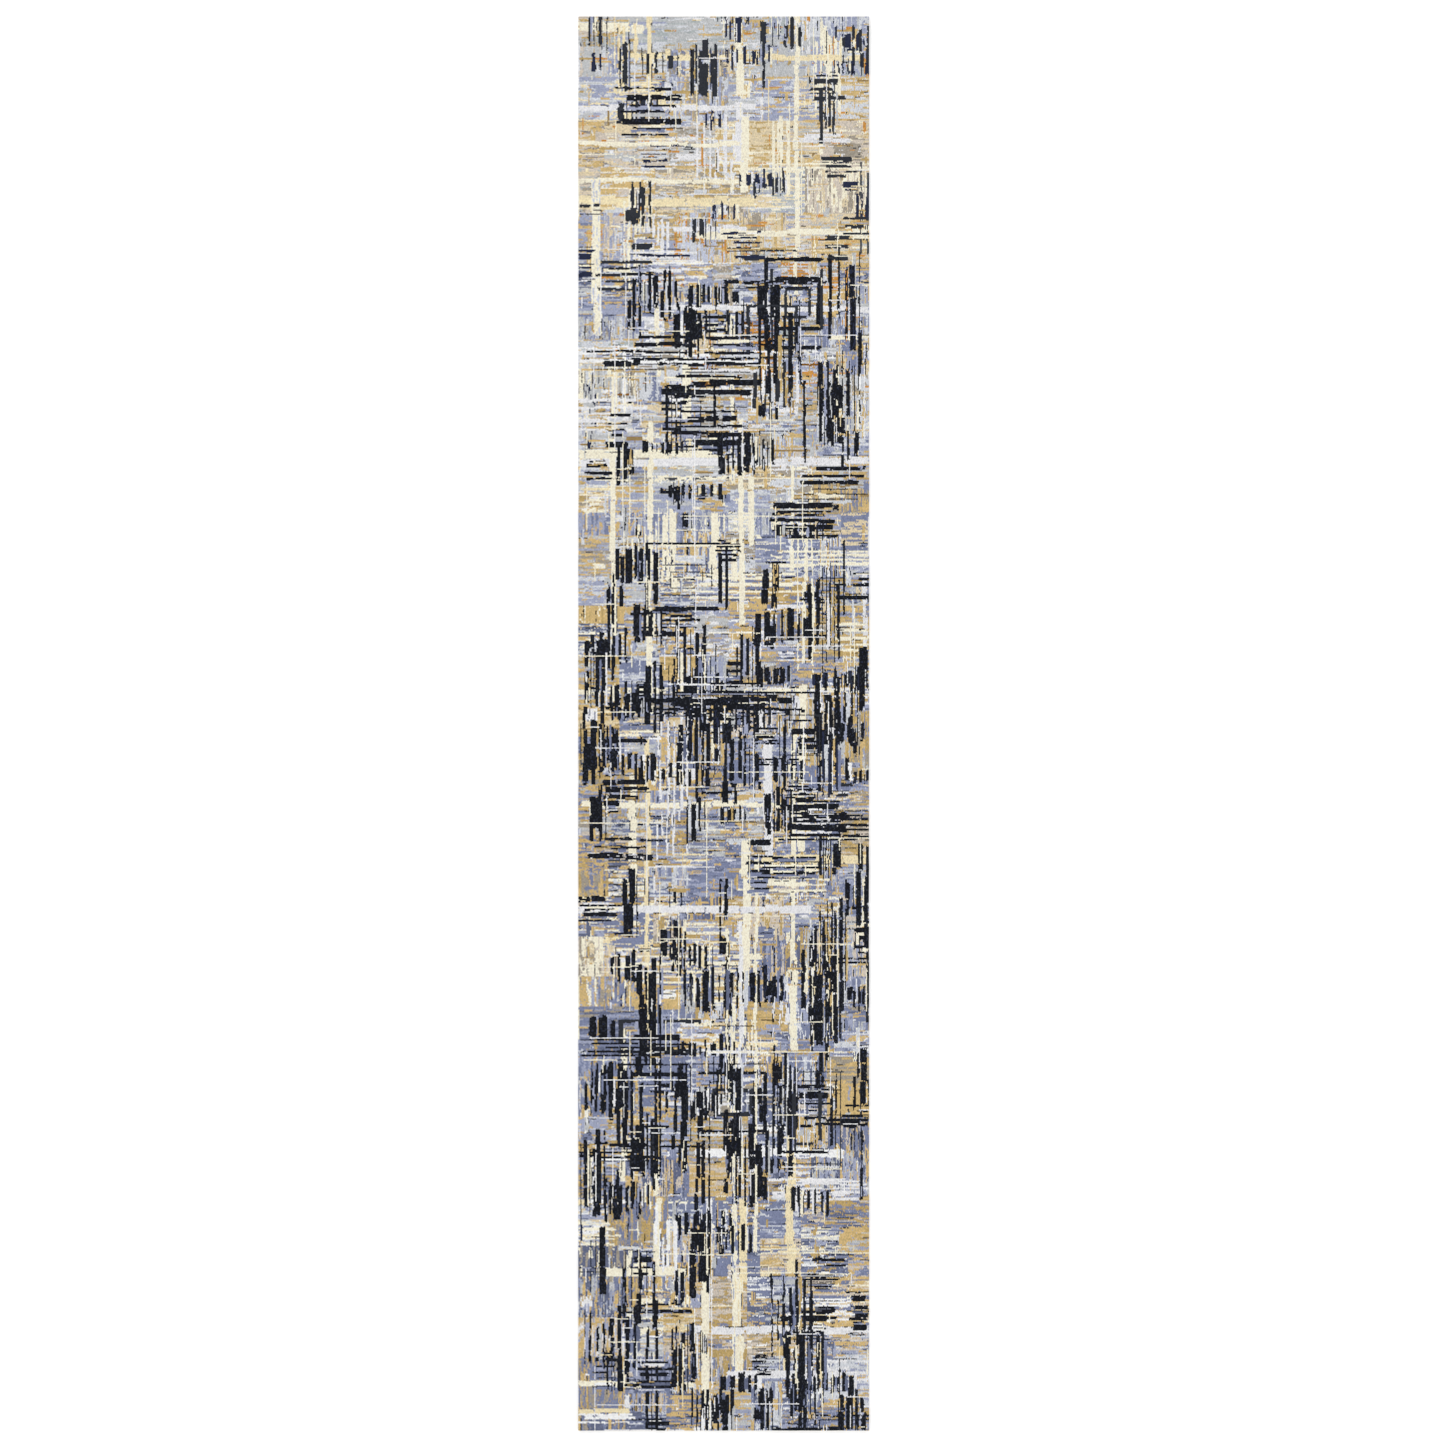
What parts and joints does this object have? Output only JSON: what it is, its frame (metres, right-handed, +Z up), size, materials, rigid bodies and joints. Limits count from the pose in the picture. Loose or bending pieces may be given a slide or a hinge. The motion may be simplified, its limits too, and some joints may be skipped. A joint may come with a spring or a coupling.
{
  "type": "runner rug",
  "caption": "Long narrow hand-knotted pile runner rug with an all-over abstract pattern of crossing bars, pile to every edge, corded sides and end strips turned under and hemmed.",
  "frame": {"origin": "centre of the underside, on the floor", "axes": "+Z up, out of the pile; +Y along the rug towards its head end; +X across the rug"},
  "size_m": [0.762, 3.708, 0.0112],
  "materials": {
    "pile_yarn": "matte",
    "foundation_cotton": "matte",
    "cord_cotton": "matte",
    "overcast_wool": "matte",
    "kilim_cotton": "matte",
    "stitch_thread": "matte"
  },
  "bodies": {
    "root": {"pile_field": "pile_yarn", "foundation_weave": "foundation_cotton", "selvedge_core_left": "cord_cotton", "selvedge_core_right": "cord_cotton", "selvedge_overcast_left": "overcast_wool", "selvedge_overcast_right": "overcast_wool", "end_kilim_foot": "kilim_cotton", "end_kilim_head": "kilim_cotton", "end_lock_row_foot": "cord_cotton", "end_lock_row_head": "cord_cotton", "hem_stitches_foot": "stitch_thread", "hem_stitches_head": "stitch_thread"}
  },
  "joints": []
}
